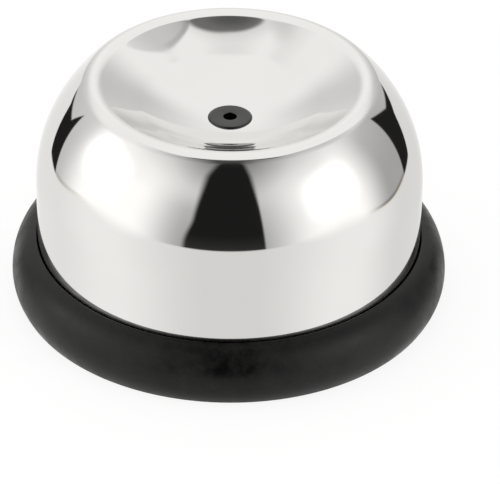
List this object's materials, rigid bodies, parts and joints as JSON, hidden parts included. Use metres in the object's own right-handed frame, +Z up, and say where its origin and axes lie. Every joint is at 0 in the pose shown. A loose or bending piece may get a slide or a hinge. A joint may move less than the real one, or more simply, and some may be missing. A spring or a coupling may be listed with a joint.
{
  "type": "egg piercer",
  "caption": "Round sprung egg piercer: a dished steel head pressed down over a fixed needle in a rubber-ringed base, with a turn knob below that lowers the needle.",
  "frame": {"origin": "centre of the ring foot that the piercer stands on, on the axis of the needle", "axes": "+Z up along the needle; +X and +Y lie in the standing surface, with the lock knob's ready mark towards +X"},
  "size_m": [0.0598, 0.0598, 0.0321],
  "materials": {
    "polished_steel": "mirror-polished stainless sheet",
    "black_rubber": "matte, faintly mottled",
    "bush_plastic": "moulded, satin top, polished rounded edge",
    "chassis_plastic": "moulded, fine texture",
    "cover_plastic": "moulded, fine texture",
    "knob_plastic": "moulded, satin",
    "carrier_plastic": "moulded, fine texture",
    "needle_carrier_plastic": "natural acetal, satin",
    "needle_steel": "ground and polished",
    "spring_steel": "drawn wire",
    "screw_steel": "zinc plated",
    "retainer_steel": "blued spring strip",
    "magnet_nickel": "nickel plated"
  },
  "bodies": {
    "base": {"chassis": "chassis_plastic", "bottom_cover": "cover_plastic", "cover_screws": "screw_steel", "magnet_1": "magnet_nickel", "magnet_2": "magnet_nickel", "magnet_3": "magnet_nickel", "base_ring": "black_rubber", "return_spring": "spring_steel"},
    "press_head": {"dome_shell": "polished_steel", "guide_bush": "bush_plastic", "bush_retainer": "retainer_steel", "head_carrier": "carrier_plastic", "head_screws": "screw_steel", "head_washers": "screw_steel"},
    "lock": {"lock_knob": "knob_plastic"},
    "needle_unit": {"needle": "needle_steel", "needle_carrier": "needle_carrier_plastic", "cam_pin": "needle_steel"}
  },
  "joints": [
    {"name": "head_press", "type": "slide", "parent": "base", "child": "press_head", "axis": [0, 0, -1], "range_m": [0, 0.0038], "stiffness_N_per_m": 900, "springref_m": -0.004, "deforming": ["return_spring"]},
    {"name": "lock_turn", "type": "hinge", "parent": "base", "child": "lock", "pos_m": [0, 0, 0.0045], "axis": [0, 0, 1], "range_deg": [0, 90]},
    {"name": "needle_sink", "type": "slide", "parent": "base", "child": "needle_unit", "axis": [0, 0, -1], "range_m": [0, 0.0034]}
  ],
  "couplings": [
    {"joint": "needle_sink", "follows": "lock_turn", "m_per_rad": 0.002164}
  ]
}
